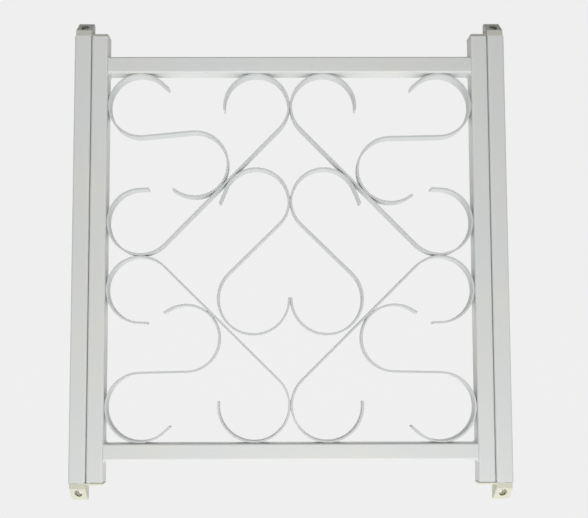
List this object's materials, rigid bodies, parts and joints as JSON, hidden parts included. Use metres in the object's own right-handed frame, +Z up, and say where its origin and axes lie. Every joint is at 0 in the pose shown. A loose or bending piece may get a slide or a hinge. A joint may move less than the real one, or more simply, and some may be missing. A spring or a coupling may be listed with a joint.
{
  "type": "window security guard",
  "caption": "Scrolled steel window guard that swings on pins between two wall-fixed uprights, with slide latches at the free side.",
  "frame": {"origin": "middle of the four wall screw holes, on the plane of the wall behind the uprights", "axes": "+X right as seen from the street, +Y from the street into the building, +Z up"},
  "size_m": [0.6624, 0.0374, 0.736],
  "materials": {
    "frame_paint": "semi-gloss white powder coat on square steel tube",
    "scroll_paint": "semi-gloss white powder coat on bent flat bar",
    "bracket_paint": "cream enamel on cast blocks",
    "pin_steel": "bright drawn steel",
    "knob_zinc": "turned and zinc plated",
    "washer_nylon": "natural nylon",
    "plug_nylon": "moulded nylon, matt"
  },
  "bodies": {
    "mounting_uprights": {"left_mounting_upright": "frame_paint", "right_mounting_upright": "frame_paint", "end_bracket_top_left": "bracket_paint", "end_bracket_top_right": "bracket_paint", "end_bracket_bottom_left": "bracket_paint", "end_bracket_bottom_right": "bracket_paint", "hinge_pin_top": "pin_steel", "hinge_pin_bottom": "pin_steel", "hinge_washer_top": "washer_nylon", "hinge_washer_bottom": "washer_nylon"},
    "guard_frame": {"left_frame_post": "frame_paint", "right_frame_post": "frame_paint", "top_rail": "frame_paint", "bottom_rail": "frame_paint", "diamond_scroll_top_left": "scroll_paint", "diamond_scroll_top_right": "scroll_paint", "diamond_scroll_bottom_left": "scroll_paint", "diamond_scroll_bottom_right": "scroll_paint", "heart_scroll_left": "scroll_paint", "heart_scroll_right": "scroll_paint", "corner_scroll_top_left": "scroll_paint", "corner_scroll_top_right": "scroll_paint", "corner_scroll_bottom_left": "scroll_paint", "corner_scroll_bottom_right": "scroll_paint", "hinge_plug_top": "plug_nylon", "hinge_plug_bottom": "plug_nylon", "latch_plug_top": "plug_nylon", "latch_plug_bottom": "plug_nylon"},
    "top_latch": {"latch_pin_top": "pin_steel", "latch_knob_top": "knob_zinc"},
    "bottom_latch": {"latch_pin_bottom": "pin_steel", "latch_knob_bottom": "knob_zinc"}
  },
  "joints": [
    {"name": "frame_hinge", "type": "hinge", "parent": "mounting_uprights", "child": "guard_frame", "pos_m": [-0.3002, -0.0208, 0], "axis": [0, 0, -1], "range_deg": [0, 95]},
    {"name": "top_latch_slide", "type": "slide", "parent": "guard_frame", "child": "top_latch", "axis": [0, 0, 1], "range_m": [0, 0.005]},
    {"name": "bottom_latch_slide", "type": "slide", "parent": "guard_frame", "child": "bottom_latch", "axis": [0, 0, -1], "range_m": [0, 0.005]}
  ]
}
